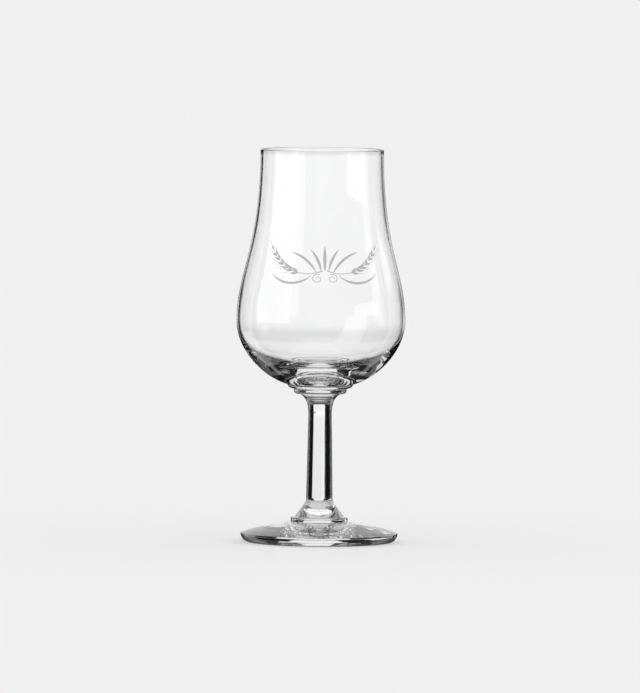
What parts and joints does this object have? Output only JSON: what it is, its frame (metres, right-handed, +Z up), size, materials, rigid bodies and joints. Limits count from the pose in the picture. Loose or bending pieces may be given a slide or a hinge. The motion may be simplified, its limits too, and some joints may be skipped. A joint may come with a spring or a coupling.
{
  "type": "stemmed tasting glass",
  "caption": "Clear tulip-shaped tasting glass: wide-bellied bowl with a narrowed mouth and heavy base, on a short solid stem and a round pressed foot.",
  "frame": {"origin": "middle of the circle that the foot stands on, at table level", "axes": "+Z up along the axis of the glass, from the foot to the mouth; X and Y are level, and the glass is alike all round"},
  "size_m": [0.0666, 0.0666, 0.155],
  "materials": {
    "bowl_glass": "clear, fire-polished, with a faint ripple",
    "stem_glass": "clear, drawn, polished",
    "foot_glass": "clear, pressed, with a stippled underside"
  },
  "bodies": {
    "root": {"bowl": "bowl_glass", "stem": "stem_glass", "foot": "foot_glass"}
  },
  "joints": []
}
